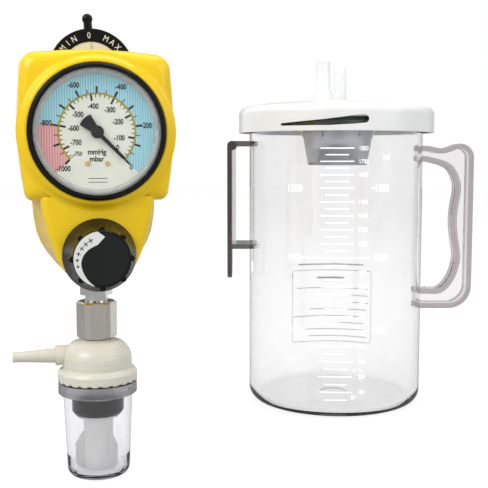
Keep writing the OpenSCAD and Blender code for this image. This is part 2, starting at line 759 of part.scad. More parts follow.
module hex_sleeve() {
    low = 75.6;
    high = 95.6;
    flat = 20.2;
    cut = 21.6;
    color([0.78, 0.77, 0.73]) at_regulator() difference() {
        intersection() {
            translate([0, 0, low]) cylinder(h = high - low, r = flat / sqrt(3), $fn = 6);
            translate([0, 0, low]) rotate([0, 0, 30]) cylinder(h = high - low, r = cut / sqrt(3), $fn = 6);
            rotate_extrude() polygon([[0, low], [9.6, low], [11.3, low + 1.4], [11.3, high - 1.4], [9.6, high],
                [0, high]]);
        }
        translate([0, 0, 85.6]) cylinder(h = 12, r = 6.05);
        translate([0, 0, low - 1]) cylinder(h = 10, r = 5.55);
        translate([0, 0, 80]) cylinder(h = 10, r = 3);
    }
}

// ---------------------------------------------------------------- trap

nozzle_z = 66.4;

module trap_stem() {
    color([0.85, 0.85, 0.87]) at_regulator() difference() {
        union() {
            translate([0, 0, 63]) cylinder(h = 21.4, r = 5.5);
            translate([0, 0, 61.5]) cylinder(h = 2, r = 4.5);
        }
        translate([0, 0, 60]) cylinder(h = 30, r = 3);
    }
}

module trap_cap() {
    top_z = 74.6;
    flange_r = 21.4;
    flange_low = 52.5;
    seat_r = 9;
    notch_count = 24;
    shell = concat([[0, flange_low], [flange_r, flange_low], [flange_r, 57], [20.2, 58.6], [18.4, 59.6],
        [dome_r, 61.5]], arc([dome_r - 10.5, top_z - 10.5], 10.5, 0, 90, 8), [[0, top_z]]);
    hollow = concat([[0, flange_low - 1], [15.6, flange_low - 1], [15.6, 63]],
        arc([dome_r - 10.5, top_z - 10.5], 8.6, 0, 90, 8), [[0, top_z - 1.9]]);
    color([0.9, 0.89, 0.84]) at_regulator() difference() {
        union() {
            difference() {
                rotate_extrude() polygon(shell);
                rotate_extrude() polygon(hollow);
            }
            translate([0, 0, 51]) difference() {
                cylinder(h = 24, r = seat_r);
                translate([0, 0, -1]) cylinder(h = 12, r = 3);
            }
            translate([-14, 0, nozzle_z]) rotate([0, -90, 0]) cylinder(h = 8.4, r = 5.4);
            translate([-22, 0, nozzle_z]) rotate([0, -90, 0])
                cylinder(h = nozzle_reach - 22 - 5, r1 = 4, r2 = 2.8);
            translate([-nozzle_reach, 0, nozzle_z]) rotate([0, 90, 0]) cylinder(h = 5.2, r = 2.75);
        }
        translate([0, 0, 61.5]) cylinder(h = 20, r = 5.52);
        translate([-nozzle_reach - 1, 0, nozzle_z]) rotate([0, 90, 0]) cylinder(h = 34, r = 1.7);
        for (i = [0 : notch_count - 1]) rotate([0, 0, 360 * i / notch_count])
            translate([flange_r - 1, -1.2, flange_low - 1]) cube([2, 2.4, 1.8]);
    }
}

module trap_gasket() {
    color([0.08, 0.08, 0.08]) at_regulator() translate([0, 0, 51.7]) difference() {
        cylinder(h = 0.8, r = 20.7);
        translate([0, 0, -1]) cylinder(h = 3, r = 15.8);
    }
}

module trap_cup() {
    collar_r = 21.2;
    collar_z = [45.4, 51.6];
    wall = 1.7;
    floor_t = 3;
    corner = 4.5;
    lug_every = 30;
    slope = (cup_r - cup_foot_r) / 40;
    outside = concat([[0, 0], [cup_foot_r - corner, 0]], arc([cup_foot_r - corner, corner], corner, -80, 0, 5),
        [[cup_r, collar_z[0]], [collar_r - 0.6, collar_z[0]], [collar_r, collar_z[0] + 0.6],
        [collar_r, collar_z[1]], [0, collar_z[1]]]);
    inside = [[0, floor_t], [cup_foot_r - 5, floor_t], [cup_foot_r - wall - 0.5, floor_t + 2.5],
        [cup_foot_r - wall + slope * 8, 12], [cup_r - wall, collar_z[0]], [cup_r - wall, collar_z[1] + 1],
        [0, collar_z[1] + 1]];
    color([0.85, 0.87, 0.9, 0.35]) at_regulator() {
        difference() {
            rotate_extrude() polygon(outside);
            rotate_extrude() polygon(inside);
            for (a = [0 : lug_every : 359]) rotate([0, 0, a + 10])
                translate([collar_r - 0.9, -3, collar_z[1] - 3.4]) cube([2, 6, 2.2]);
        }
    }
}

module trap_float() {
    low = 3.4;
    fin_r = 12.7;
    color([0.95, 0.95, 0.94]) at_regulator() {
        difference() {
            translate([0, 0, low]) cylinder(h = 30, r = 8);
            translate([0, 0, low - 1]) cylinder(h = 28, r = 6.6);
        }
        translate([0, 0, 32.6]) cylinder(h = 1.4, r = 11.5);
        for (i = [0 : fin_count - 1]) rotate([0, 0, 120 * i - 46]) translate([0, 0.8, 0])
            rotate([90, 0, 0]) linear_extrude(1.6)
                polygon([[7.5, low], [9.8, low], [fin_r, low + 3], [fin_r, 18], [8.8, 24.5], [7.5, 24.5]]);
    }
}

module trap_float_seal() {
    color([0.07, 0.07, 0.07]) at_regulator() difference() {
        rotate_extrude() polygon([[0, 34], [12.6, 34], [14, 36], [14, 43.4], [0, 43.4]]);
        translate([0, 0, 37]) cylinder(h = 7, r = 12.4);
    }
}

// ---------------------------------------------------------------- assembly

bottle_jar();
jar_handle();
hanger_bracket();
lid_gasket();
lid();
patient_spout();
vacuum_spout();
float_cage();
lid_float();
lid_float_seal();
front_cover();
rear_cover();
cover_screws();
valve_block();
gauge_case();
bezel_ring();
gauge_window();
window_ring();
gauge_dial();
dial_screws();
gauge_pointer();
pointer_pinion();
movement_plates();
sector_gear();
bourdon_tube();
gauge_link();
gauge_socket();
selector_ring();
selector_disc();
detent_ball();
detent_spring();
knob();
knob_insert();
knob_screw();
adjusting_spindle();
spring_housing();
spring_button();
main_spring();
diaphragm();
diaphragm_plate();
valve_stem();
valve_seat();
return_spring();
block_plug();
inlet_adapter();
outlet_nipple();
hex_sleeve();
trap_stem();
trap_cap();
trap_gasket();
trap_cup();
trap_float();
trap_float_seal();
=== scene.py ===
"""Suction bottle with vacuum regulator and trap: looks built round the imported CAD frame."""

import json
import math

import bmesh
import bpy
from mathutils import Matrix, Vector


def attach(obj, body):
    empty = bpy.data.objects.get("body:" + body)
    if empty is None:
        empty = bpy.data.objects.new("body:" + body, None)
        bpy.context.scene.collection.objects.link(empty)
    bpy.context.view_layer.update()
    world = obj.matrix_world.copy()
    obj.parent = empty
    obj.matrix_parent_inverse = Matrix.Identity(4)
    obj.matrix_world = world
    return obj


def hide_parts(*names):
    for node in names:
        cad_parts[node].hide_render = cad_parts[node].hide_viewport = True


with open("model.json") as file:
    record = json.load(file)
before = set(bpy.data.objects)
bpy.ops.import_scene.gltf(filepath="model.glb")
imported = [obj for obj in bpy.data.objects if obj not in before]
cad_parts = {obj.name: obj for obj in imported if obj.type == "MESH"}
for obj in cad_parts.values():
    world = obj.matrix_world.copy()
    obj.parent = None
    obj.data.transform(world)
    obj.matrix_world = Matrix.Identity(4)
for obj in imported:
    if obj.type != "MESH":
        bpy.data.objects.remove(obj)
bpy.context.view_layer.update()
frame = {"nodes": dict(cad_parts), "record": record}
nodes = frame["nodes"]
joints = {j["name"]: j for j in frame["record"]["behaviour"]["joints"]}
MM = 0.001
AMBIENT = 0.62          # the world's brightness for diffuse light
ACRYLIC_IOR = 1.49
HATCH_PITCH = 0.0013
LIGHT_TARGET = (0, 0, 0.1)
LIGHTS = (              # name, place, size, power
    ("key", (-0.9, -1.0, 1.1), 0.8, 12), ("fill", (1.0, -0.7, 0.7), 0.9, 4), ("top", (0.0, 0.1, 1.5), 1.2, 7))

# ---------------------------------------------------------------- places, from the CAD

trap_pos = joints["trap_cup_turn"]["pos_m"]
front_axis = joints["selector_turn"]["axis"]
YAW = math.atan2(-front_axis[0], front_axis[1])
REG = Matrix.Translation((trap_pos[0], trap_pos[1], 0)) @ Matrix.Rotation(YAW, 4, "Z")
GAUGE_Z = joints["pointer_turn"]["pos_m"][2] * 1000
SELECTOR_Z = joints["selector_turn"]["pos_m"][2] * 1000
KNOB_Z = joints["knob_turn"]["pos_m"][2] * 1000
DIAL_F = 26.8           # the dial's face, the cover's parting plane and its front, all counted to the front
PART_F = -7.0
FACE_F = 28.0
KNOB_F = 50.0
JAR_R = 61.0


# ---------------------------------------------------------------- camera, light, floor

def add_camera():
    data = bpy.data.cameras.new("camera")
    data.lens = 66.4
    data.sensor_width = 36
    cam = bpy.data.objects.new("camera", data)
    cam.location = (-0.065, -0.643, 0.1725)
    cam.rotation_euler = (math.radians(90 - 5.46), 0, 0)
    bpy.context.collection.objects.link(cam)
    bpy.context.scene.camera = cam


def add_area(name, place, size, power):
    data = bpy.data.lights.new(name, "AREA")
    data.shape = "RECTANGLE"
    data.size = data.size_y = size
    data.energy = power
    lamp = bpy.data.objects.new(name, data)
    lamp.location = place
    aim = Vector(LIGHT_TARGET) - Vector(place)
    lamp.rotation_euler = aim.to_track_quat("-Z", "Y").to_euler()
    bpy.context.collection.objects.link(lamp)


def add_world():
    """White for the camera and through clear plastic, softer for diffuse light, upright strips in reflections."""
    world = bpy.data.worlds.new("studio")
    bpy.context.scene.world = world
    world.use_nodes = True
    tree = world.node_tree
    back = tree.nodes["Background"]
    path = tree.nodes.new("ShaderNodeLightPath")
    direction = tree.nodes.new("ShaderNodeTexCoord").outputs["Generated"]
    across = map_range(tree, part_of(tree, direction, "X"), (-1.0, 1.0), (0.0, 1.0))
    strips = ramp(tree, across, [
        (0.0, (0.30,) * 3), (0.10, (1.2,) * 3), (0.22, (1.2,) * 3), (0.30, (0.10,) * 3), (0.50, (0.16,) * 3),
        (0.62, (0.9,) * 3), (0.70, (0.9,) * 3), (0.78, (0.08,) * 3), (0.92, (0.9,) * 3), (1.0, (0.4,) * 3)])
    glossy = mix_colours(tree, path.outputs["Is Glossy Ray"], (AMBIENT,) * 3, strips)
    tree.links.new(mix_colours(tree, seen_or_through(tree, path), glossy, (1.0, 1.0, 1.0)), back.inputs["Color"])
    back.inputs["Strength"].default_value = 1.0


def seen_or_through(tree, path):
    """1 for camera rays and for rays through clear plastic, else 0."""
    either = tree.nodes.new("ShaderNodeMath")
    either.operation = "MAXIMUM"
    tree.links.new(path.outputs["Is Camera Ray"], either.inputs[0])
    tree.links.new(path.outputs["Is Transmission Ray"], either.inputs[1])
    return either.outputs[0]


def part_of(tree, vector, axis):
    split = tree.nodes.new("ShaderNodeSeparateXYZ")
    tree.links.new(vector, split.inputs["Vector"])
    return split.outputs[axis]


def map_range(tree, source, span, to):
    node = tree.nodes.new("ShaderNodeMapRange")
    node.inputs["From Min"].default_value, node.inputs["From Max"].default_value = span
    node.inputs["To Min"].default_value, node.inputs["To Max"].default_value = to
    tree.links.new(source, node.inputs["Value"])
    return node.outputs["Result"]


def mix_colours(tree, factor, first, second):
    """Mix two colours, each a tuple or a socket."""
    mix = tree.nodes.new("ShaderNodeMix")
    mix.data_type = "RGBA"
    tree.links.new(factor, mix.inputs[0])
    for socket, value in ((mix.inputs[6], first), (mix.inputs[7], second)):
        if isinstance(value, tuple):
            socket.default_value = (*value, 1)
        else:
            tree.links.new(value, socket)
    return mix.outputs[2]


# ---------------------------------------------------------------- materials

def new_material(name):
    mat = bpy.data.materials.new(name)
    mat.use_nodes = True
    tree = mat.node_tree
    return mat, tree, tree.nodes["Principled BSDF"]


def coords(tree):
    return tree.nodes.new("ShaderNodeTexCoord").outputs["Object"]


def noise(tree, scale, detail=3.0, stretch=None, rough=0.55):
    """A noise texture on object coordinates, optionally stretched along an axis."""
    node = tree.nodes.new("ShaderNodeTexNoise")
    node.inputs["Scale"].default_value = scale
    node.inputs["Detail"].default_value = detail
    node.inputs["Roughness"].default_value = rough
    where = coords(tree)
    if stretch:
        mapping = tree.nodes.new("ShaderNodeMapping")
        mapping.inputs["Scale"].default_value = stretch
        tree.links.new(where, mapping.inputs["Vector"])
        where = mapping.outputs["Vector"]
    tree.links.new(where, node.inputs["Vector"])
    return node.outputs["Fac"]


def ramp(tree, source, stops):
    node = tree.nodes.new("ShaderNodeValToRGB")
    elements = node.color_ramp.elements
    while len(elements) < len(stops):
        elements.new(0.5)
    for element, (place, colour) in zip(elements, stops):
        element.position = place
        element.color = (*colour, 1)
    tree.links.new(source, node.inputs["Fac"])
    return node.outputs["Color"]


def spread(tree, source, low, high):
    """The middle of a noise's range, spread from low to high."""
    return map_range(tree, source, (0.3, 0.7), (low, high))


def bump(tree, bsdf, source, height, chain=None):
    node = tree.nodes.new("ShaderNodeBump")
    node.inputs["Distance"].default_value = height
    tree.links.new(source, node.inputs["Height"])
    if chain is not None:
        tree.links.new(chain, node.inputs["Normal"])
    tree.links.new(node.outputs["Normal"], bsdf.inputs["Normal"])
    return node.outputs["Normal"]


def shade(colour, k):
    return tuple(min(1.0, c * k) for c in colour)


def plastic(name, colour, rough=0.3, grain=0.00002, grain_scale=900, vary=0.04, coat=0.0, wave=0.0,
            sub=0.0, gloss=0.5):
    """Moulded plastic: slight colour drift, uneven gloss, fine grain and a faint sink-mark wave."""
    mat, tree, bsdf = new_material(name)
    broad = noise(tree, 45, 2.0)
    colour_out = ramp(tree, broad, [(0.3, shade(colour, 1 - vary)), (0.7, shade(colour, 1 + vary))])
    tree.links.new(colour_out, bsdf.inputs["Base Color"])
    smear = noise(tree, 130, 4.0)
    tree.links.new(spread(tree, smear, max(0.02, rough - 0.05), rough + 0.07), bsdf.inputs["Roughness"])
    chain = bump(tree, bsdf, noise(tree, grain_scale, 2.0), grain)
    if wave:
        bump(tree, bsdf, noise(tree, 28, 1.0), wave, chain=chain)
    bsdf.inputs["Specular IOR Level"].default_value = gloss
    bsdf.inputs["Coat Weight"].default_value = coat
    bsdf.inputs["Coat Roughness"].default_value = 0.08
    if sub:
        bsdf.inputs["Subsurface Weight"].default_value = sub
        bsdf.inputs["Subsurface Radius"].default_value = (0.004, 0.0035, 0.003)
        bsdf.inputs["Subsurface Scale"].default_value = 1.0
    return mat


def metal(name, colour, rough=0.2, stretch=None, scale=600, scratch=0.000004, stain=0.08):
    """Turned, brushed or plated metal with fine tool marks and faint stains."""
    mat, tree, bsdf = new_material(name)
    bsdf.inputs["Metallic"].default_value = 1.0
    stains = noise(tree, 70, 4.0)
    colours = ramp(tree, stains, [(0.35, shade(colour, 1 - stain)), (0.65, colour)])
    tree.links.new(colours, bsdf.inputs["Base Color"])
    lines = noise(tree, scale, 5.0, stretch)
    tree.links.new(spread(tree, lines, max(0.02, rough - 0.06), rough + 0.1), bsdf.inputs["Roughness"])
    bump(tree, bsdf, lines, scratch)
    return mat


def clear(name, colour, rough=0.02, wave=0.00001, dim=None, cover=1.0):
    """Clear moulded plastic with a faint wave and hairline scratches; dim is its absorption per metre and tint,
    and cover below 1 lets some light straight through."""
    mat, tree, bsdf = new_material(name)
    cloud = noise(tree, 60, 2.0)
    tree.links.new(ramp(tree, cloud, [(0.3, shade(colour, 0.985)), (0.7, colour)]), bsdf.inputs["Base Color"])
    bsdf.inputs["Transmission Weight"].default_value = 1.0
    bsdf.inputs["IOR"].default_value = ACRYLIC_IOR
    scratches = noise(tree, 260, 6.0, (1.0, 1.0, 0.12), 0.7)
    tree.links.new(spread(tree, scratches, rough, rough + 0.05), bsdf.inputs["Roughness"])
    bump(tree, bsdf, noise(tree, 24, 1.5), wave)
    bsdf.inputs["Alpha"].default_value = cover
    if dim:
        absorb = tree.nodes.new("ShaderNodeVolumeAbsorption")
        density, tint = dim
        absorb.inputs["Density"].default_value = density
        absorb.inputs["Color"].default_value = (*tint, 1)
        tree.links.new(absorb.outputs["Volume"], tree.nodes["Material Output"].inputs["Volume"])
    return mat


def frost_above(material, low, high, below, above):
    """Change a clear material's roughness between two heights; the collar of the trap's cup is frosted."""
    tree = material.node_tree
    rough = map_range(tree, part_of(tree, coords(tree), "Z"), (low, high), (below, above))
    tree.links.new(rough, tree.nodes["Principled BSDF"].inputs["Roughness"])


def ink(name, colour, rough=0.5, emit=0.0):
    """Screen-printed ink: slightly uneven cover; emit above 0 makes the ink glow, which is painted light."""
    mat, tree, bsdf = new_material(name)
    cover = noise(tree, 1800, 2.0)
    tree.links.new(ramp(tree, cover, [(0.25, shade(colour, 0.88)), (0.7, colour)]), bsdf.inputs["Base Color"])
    tree.links.new(spread(tree, cover, rough - 0.08, rough + 0.08), bsdf.inputs["Roughness"])
    bump(tree, bsdf, cover, 0.000005)
    # emit above 0 makes the print glow: painted light, not a lamp
    bsdf.inputs["Emission Color"].default_value = (*colour, 1)
    bsdf.inputs["Emission Strength"].default_value = emit
    return mat


def hatched(name, ground, line):
    """A printed field with fine upright lines."""
    mat, tree, bsdf = new_material(name)
    scaled = tree.nodes.new("ShaderNodeMath")
    scaled.operation = "MULTIPLY"
    scaled.inputs[1].default_value = 1 / HATCH_PITCH
    tree.links.new(part_of(tree, coords(tree), "X"), scaled.inputs[0])
    saw = tree.nodes.new("ShaderNodeMath")
    saw.operation = "FRACT"
    tree.links.new(scaled.outputs[0], saw.inputs[0])
    colour = ramp(tree, saw.outputs[0], [(0.0, ground), (0.62, ground), (0.72, line), (0.92, line), (1.0, ground)])
    tree.links.new(colour, bsdf.inputs["Base Color"])
    bsdf.inputs["Roughness"].default_value = 0.5
    bump(tree, bsdf, noise(tree, 1500, 2.0), 0.000004)
    return mat


MATS = {
    "jar_plastic": clear("jar_plastic", (0.985, 0.985, 0.985), 0.015, dim=(13, (0.04, 0.02, 0.05))),
    "handle_plastic": clear("handle_plastic", (0.97, 0.96, 0.965), 0.03, dim=(70, (0.10, 0.0, 0.05))),
    "hanger_plastic": clear("hanger_plastic", (0.96, 0.95, 0.95), 0.05, dim=(70, (0.06, 0.0, 0.0))),
    "lid_plastic": plastic("lid_plastic", (0.90, 0.91, 0.91), 0.32, coat=0.15, vary=0.015, wave=0.00004, sub=0.15),
    "cage_plastic": clear("cage_plastic", (0.90, 0.92, 0.95), 0.35, dim=(14, (0.0, 0.0, 0.1))),
    "gasket_rubber": plastic("gasket_rubber", (0.010, 0.055, 0.035), 0.5, grain=0.00003),
    "black_rubber": plastic("black_rubber", (0.003, 0.003, 0.003), 0.34, grain=0.000004, vary=0.2, gloss=0.25),
    "cover_plastic": plastic("cover_plastic", (0.95, 0.64, 0.010), 0.24, grain=0.000012, vary=0.015, coat=0.15,
                             wave=0.00002, gloss=0.25),
    "black_plastic": plastic("black_plastic", (0.003, 0.003, 0.0035), 0.3, grain=0.00001, vary=0.15, gloss=0.2),
    "ivory_plastic": plastic("ivory_plastic", (0.74, 0.72, 0.62), 0.3, coat=0.1, vary=0.02, wave=0.00004, sub=0.1),
    "float_plastic": plastic("float_plastic", (0.86, 0.86, 0.85), 0.45, vary=0.02, sub=0.1),
    "cup_plastic": clear("cup_plastic", (0.985, 0.985, 0.99), 0.02, dim=(45, (0.04, 0.0, 0.10))),
    "window_glass": clear("window_glass", (0.99, 0.99, 0.99), 0.01, wave=0.000002, cover=0.35),
    "dial_paint": plastic("dial_paint", (0.84, 0.86, 0.75), 0.55, grain=0.000008, vary=0.015),
    "case_metal": metal("case_metal", (0.45, 0.46, 0.45), 0.35),
    "pointer_paint": plastic("pointer_paint", (0.004, 0.004, 0.004), 0.45, grain=0.00001, vary=0.15,
                             gloss=0.3),
    "brass": metal("brass", (0.70, 0.47, 0.18), 0.2),
    "chrome": metal("chrome", (0.66, 0.66, 0.65), 0.08, scale=300, scratch=0.000001, stain=0.04),
    "satin_nickel": metal("satin_nickel", (0.64, 0.61, 0.55), 0.2, (1, 1, 0.04), 900, 0.0000015, 0.06),
    "knob_face": plastic("knob_face", (0.008, 0.009, 0.009), 0.42, grain=0.00003, grain_scale=1500, vary=0.1,
                         gloss=0.3),
    # the window ring's grey is partly its own translucent grey and partly painted shade of the window's conical
    # inner wall
    "ring_grey_with_shade": plastic("ring_grey_with_shade", (0.50, 0.51, 0.49), 0.25, grain=0.00001, vary=0.05),
    "steel": metal("steel", (0.62, 0.63, 0.64), 0.25),
    "block_metal": metal("block_metal", (0.66, 0.67, 0.69), 0.35),
}
frost_above(MATS["cup_plastic"], 0.0450, 0.0456, 0.03, 0.5)
PRINT_BLACK = ink("print_black", (0.004, 0.004, 0.004))
PRINT_WHITE = ink("print_white", (0.82, 0.84, 0.80), 0.45)
PRINT_GREY = ink("print_grey", (0.22, 0.22, 0.22))
PRINT_YELLOW = ink("print_yellow", (0.42, 0.38, 0.01))
# the jar's white ink glows (emission 0.55): painted light that keeps the graduations bright
JAR_WHITE_GLOWING = ink("jar_white_glowing", (0.93, 0.97, 0.96), 0.4, 0.55)
# the jar's grey ink glows faintly (emission 0.1): painted light
JAR_GREY_GLOWING = ink("jar_grey_glowing", (0.46, 0.46, 0.44), 0.5, 0.1)
DIAL_BLUE = hatched("dial_blue", (0.44, 0.76, 0.84), (0.17, 0.52, 0.68))
DIAL_RED = hatched("dial_red", (0.84, 0.46, 0.46), (0.66, 0.20, 0.22))


# ---------------------------------------------------------------- mesh helpers

def add_piece(name, verts, faces, mat, body, matrix=None, smooth=False):
    """A mesh piece from points in millimetres, which rides on a body."""
    mesh = bpy.data.meshes.new(name)
    mesh.from_pydata([tuple(c * MM for c in v) for v in verts], [], faces)
    mesh.update()
    piece = bpy.data.objects.new(name, mesh)
    bpy.context.collection.objects.link(piece)
    if matrix is not None:
        piece.matrix_world = matrix
    mesh.materials.append(mat)
    if smooth:
        for polygon in mesh.polygons:
            polygon.use_smooth = True
    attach(piece, body)
    return piece


class Print:
    """Flat printed shapes, collected in a plane (u to the right, v up) and placed by a function."""

    def __init__(self, place):
        self.place = place
        self.verts = []
        self.faces = []

    def polygon(self, points):
        first = len(self.verts)
        self.verts += [self.place(u, v) for u, v in points]
        self.faces.append(tuple(range(first, first + len(points))))

    def bar(self, centre, length, width, deg):
        """A rectangle whose long side points along deg."""
        c, s = polar(1, deg)
        corners = [(i * length / 2, k * width / 2) for i, k in ((-1, -1), (1, -1), (1, 1), (-1, 1))]
        self.polygon([(centre[0] + a * c - b * s, centre[1] + a * s + b * c) for a, b in corners])

    def sector(self, r0, r1, a0, a1, step=3.0):
        count = max(1, math.ceil(abs(a1 - a0) / step))
        for i in range(count):
            p, q = (a0 + (a1 - a0) * k / count for k in (i, i + 1))
            self.polygon([polar(r0, p), polar(r1, p), polar(r1, q), polar(r0, q)])

    def text(self, words, height, centre=(0, 0), deg=0.0, squeeze=1.0, bold=0.0):
        """Words centred on a point, with capitals of this height."""
        verts, faces = text_shape(words, bold)
        k = height / CAPITAL
        middle = (min(v[0] for v in verts) + max(v[0] for v in verts)) / 2
        c, s = polar(1, deg)
        first = len(self.verts)
        for x, y in verts:
            a, b = (x - middle) * k * squeeze, (y - CAPITAL / 2) * k
            self.verts.append(self.place(centre[0] + a * c - b * s, centre[1] + a * s + b * c))
        self.faces += [tuple(first + i for i in face) for face in faces]

    def finish(self, name, mat, body, matrix=None):
        return add_piece(name, self.verts, self.faces, mat, body, matrix)


CAPITAL = 0.7           # the height of a capital in text of size 1
_text_cache = {}


def text_shape(words, bold):
    """Points and faces of flat text of size 1; the same words are made only once."""
    key = (words, bold)
    if key not in _text_cache:
        curve = bpy.data.curves.new("text", "FONT")
        curve.body = words
        curve.size = 1.0
        curve.resolution_u = 3
        curve.offset = bold
        obj = bpy.data.objects.new("text", curve)
        bpy.context.collection.objects.link(obj)
        graph = bpy.context.evaluated_depsgraph_get()
        mesh = bpy.data.meshes.new_from_object(obj.evaluated_get(graph))
        _text_cache[key] = ([(v.co.x, v.co.y) for v in mesh.vertices],
                            [tuple(p.vertices) for p in mesh.polygons])
        bpy.data.objects.remove(obj)
        bpy.data.curves.remove(curve)
        bpy.data.meshes.remove(mesh)
    return _text_cache[key]


def smooth_path(points, count):
    """Evenly counted points on a smooth curve through a few points."""
    out = []
    for i in range(count + 1):
        t = (len(points) - 1) * i / count
        k = min(int(t), len(points) - 2)
        t -= k
        a, b, c, d = (points[min(max(k + j, 0), len(points) - 1)] for j in (-1, 0, 1, 2))
        out.append(tuple(0.5 * (2 * q + (r - p) * t + (2 * p - 5 * q + 4 * r - w) * t * t
                                + (3 * q - p - 3 * r + w) * t * t * t) for p, q, r, w in zip(a, b, c, d)))
    return out


def polar(r, deg):
    return (r * math.cos(math.radians(deg)), r * math.sin(math.radians(deg)))


def front_plane(z0, f):
    """Placing function for a print on a plane facing the regulator's front."""
    return lambda u, v: (u, -f, z0 + v)


# ---------------------------------------------------------------- gauge dial

def build_dial():
    """Two coloured bands, the circle between the scales, and the scales with their figures."""
    start, red_from, stop = -45, 171, 225       # degrees
    per_mbar, per_ten_mmhg = 0.27, 7.2          # degrees
    band = (19.3, 30.6)
    band_f, circle_f, marks_f = DIAL_F + 0.03, DIAL_F + 0.06, DIAL_F + 0.08

    def angle(mbar):
        return start + per_mbar * mbar

    for name, mat, low, high in (("dial_band_blue", DIAL_BLUE, start, red_from),
                                 ("dial_band_red", DIAL_RED, red_from, stop)):
        field = Print(front_plane(GAUGE_Z, band_f))
        field.sector(*band, low, high)
        field.finish(name, mat, "regulator", REG)
    circle = Print(front_plane(GAUGE_Z, circle_f))
    circle.sector(18.75, 19.75, start, stop, 2.5)
    circle.finish("dial_circle", PRINT_YELLOW, "regulator", REG)

    marks = Print(front_plane(GAUGE_Z, marks_f))
    for step in range(21):
        a = angle(step * 50)
        if step % 2 == 0:
            marks.bar(polar(21.2, a), 3.3, 1.05, a)
        else:
            marks.bar(polar(20.6, a), 2.0, 0.45, a)
    for step in range(38):
        a = start + per_ten_mmhg * step
        if step % 5 == 0:
            marks.bar(polar(17.3, a), 3.2, 1.05, a)
        else:
            marks.bar(polar(18.2, a), 1.5, 0.45, a)
    marks.bar(polar(17.6, stop), 2.4, 0.35, stop)
    outer = {0: 24.3, 200: 25.2, 400: 25.8, 600: 25.9, 800: 25.6, 1000: 25.0}
    for value, r in outer.items():
        a = angle(value) + (2 if value == 1000 else -1)
        marks.text("0" if value == 0 else f"-{value}", 2.7, polar(r, a), squeeze=0.8, bold=0.03)
    inner = {100: (11.4, -14), 200: (11.7, 27), 300: (13.0, 60), 400: (13.1, 98), 500: (12.9, 137),
             600: (11.9, 171), 700: (11.8, 206)}
    for value, (r, a) in inner.items():
        marks.text(f"-{value}", 2.7, polar(r, a), squeeze=0.78, bold=0.03)
    marks.text("-750", 2.1, polar(14.6, 228), squeeze=0.8, bold=0.02)
    marks.text("0", 2.6, polar(12.7, -37), squeeze=0.8, bold=0.03)
    marks.text("mmHg", 2.6, (-0.2, -9.9), squeeze=0.92, bold=0.03)
    marks.text("mbar", 2.6, (-0.3, -13.4), squeeze=0.92, bold=0.03)
    for v in (-23.3, -25.2):
        marks.bar((0, v), 9.6, 0.3, 0)
    marks.finish("dial_marks", PRINT_BLACK, "regulator", REG)


# ---------------------------------------------------------------- knob and selector prints

def build_knob_print():
    """White crescent arrow with plus signs on the knob's face; it turns with the knob."""
    face = Print(front_plane(KNOB_Z, KNOB_F + 0.03))
    rim_r = 13.8
    start, stop, count = 254, 99, 30
    outside = [polar(rim_r, start + (stop - start) * i / count) for i in range(count + 1)]
    inside = smooth_path([(-3.7, -13.2), (-6.4, -10.8), (-8.9, -7.0), (-10.1, -2.6), (-9.4, 1.2), (-7.2, 4.2),
                          (-4.6, 6.0), (-2.0, 7.2)], count)
    for i in range(count):
        face.polygon([outside[i], outside[i + 1], inside[i + 1], inside[i]])
    face.polygon([outside[-1], (1.4, 11.0), inside[-1]])
    face.finish("knob_arrow", PRINT_WHITE, "knob", REG)
    signs = Print(front_plane(KNOB_Z, KNOB_F + 0.07))
    for i, (a, r) in enumerate(((196, 12.2), (181, 12.0), (166, 11.7), (151, 11.2), (136, 10.8), (121, 10.7))):
        size = 1.6 + 0.2 * i
        signs.bar(polar(r, a), size, 0.42, a)
        signs.bar(polar(r, a), size, 0.42, a + 90)
    signs.finish("knob_signs", PRINT_BLACK, "knob", REG)


def build_selector_print():
    """Letters round the selector's ring, and the index line on its fixed disc."""
    letter_r, letter_deg, height = 19.4, 11.5, 3.3
    ring = Print(front_plane(SELECTOR_Z, -7.55))
    for words, lean in (("MIN", 40), ("0", 4), ("MAX", -35)):
        for k, letter in enumerate(words):
            turn = lean - (k - len(words) // 2) * letter_deg
            ring.text(letter, height, polar(letter_r, 90 + turn), turn, squeeze=0.8)
    ring.finish("selector_legends", PRINT_WHITE, "selector", REG)
    index = Print(front_plane(SELECTOR_Z, -7.15))
    index.bar((0, 13.4), 3.6, 0.35, 90)
    index.finish("selector_index", PRINT_GREY, "regulator", REG)


# ---------------------------------------------------------------- jar prints

def jar_side(sign):
    """Placing function for a print on the jar's wall, in front (-1) or behind (1), with u counted to +X."""
    r = JAR_R + 0.04

    def place(u, v):
        a = sign * (math.pi / 2 - u / r)
        return (r * math.cos(a), r * math.sin(a), v)

    return place


def volume_z(volume):
    """Height of a volume's mark; the steps shrink slightly upwards."""
    n = volume / 100
    return 7.9 + 10.55 * n - 0.0585 * n * n


def long_bar(sheet, u0, u1, v, width):
    """A level line in short pieces, so that it follows the jar's wall."""
    piece_length = 2.0
    count = max(1, math.ceil((u1 - u0) / piece_length))
    for i in range(count):
        a, b = u0 + (u1 - u0) * i / count, u0 + (u1 - u0) * (i + 1) / count
        sheet.polygon([(a, v - width / 2), (b, v - width / 2), (b, v + width / 2), (a, v + width / 2)])


